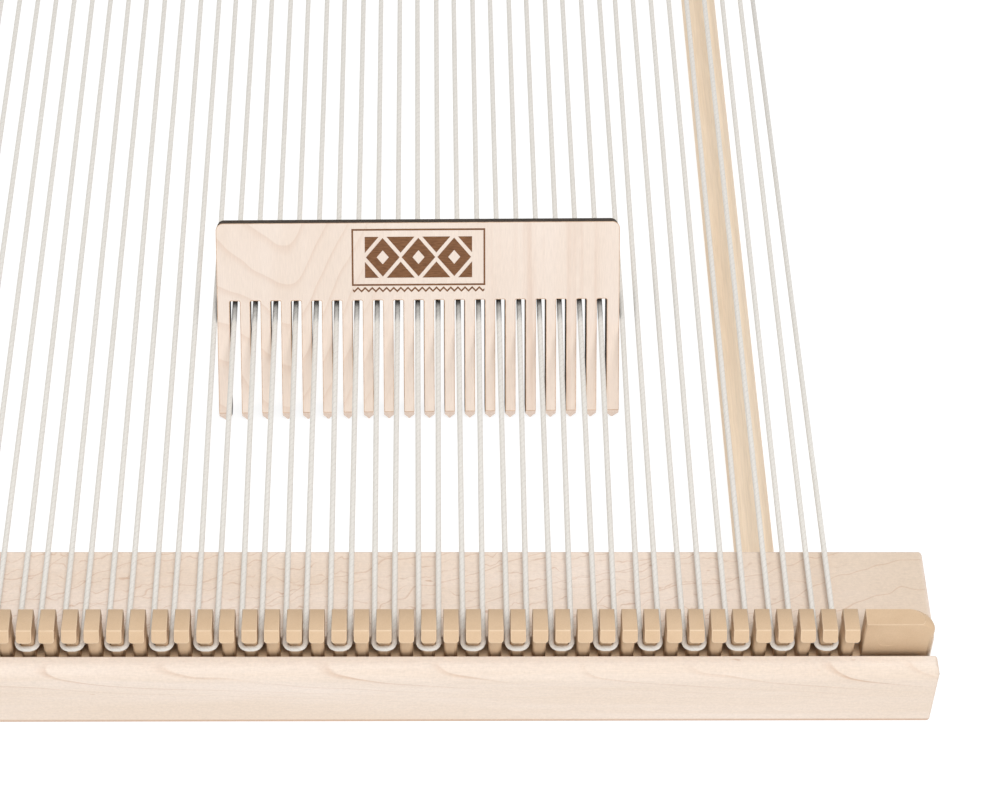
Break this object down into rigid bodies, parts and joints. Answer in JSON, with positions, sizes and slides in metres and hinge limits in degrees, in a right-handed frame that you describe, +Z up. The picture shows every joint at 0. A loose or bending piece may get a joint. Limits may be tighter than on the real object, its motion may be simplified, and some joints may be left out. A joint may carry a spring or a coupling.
{
  "type": "tapestry frame loom",
  "caption": "Flat wooden tapestry frame loom with toothed plastic racks in its end beams, dowel sides, a cotton warp strung from tooth to tooth and a wooden beater comb standing in the warp.",
  "frame": {"origin": "centre of the loom's footprint, on the surface it rests on", "axes": "+Z up, +Y along the warp from the front beam to the back beam, +X along the beams to the right"},
  "size_m": [0.3976, 0.4572, 0.0427],
  "materials": {
    "maple": "satin",
    "tooth_plastic": "matte",
    "dowel_wood": "matte",
    "warp_cotton": "matte",
    "comb_maple": "matte"
  },
  "bodies": {
    "loom": {"front_beam": "maple", "back_beam": "maple", "front_tooth_rack": "tooth_plastic", "back_tooth_rack": "tooth_plastic", "front_rack_teeth": "tooth_plastic", "back_rack_teeth": "tooth_plastic", "left_side_rail": "dowel_wood", "right_side_rail": "dowel_wood", "warp_thread": "warp_cotton"},
    "beater": {"beater_comb": "comb_maple"}
  },
  "joints": [
    {"name": "beater_lift", "type": "slide", "parent": "loom", "child": "beater", "axis": [-0.0084, 0.6018, 0.7986], "range_m": [0, 0.06]}
  ]
}
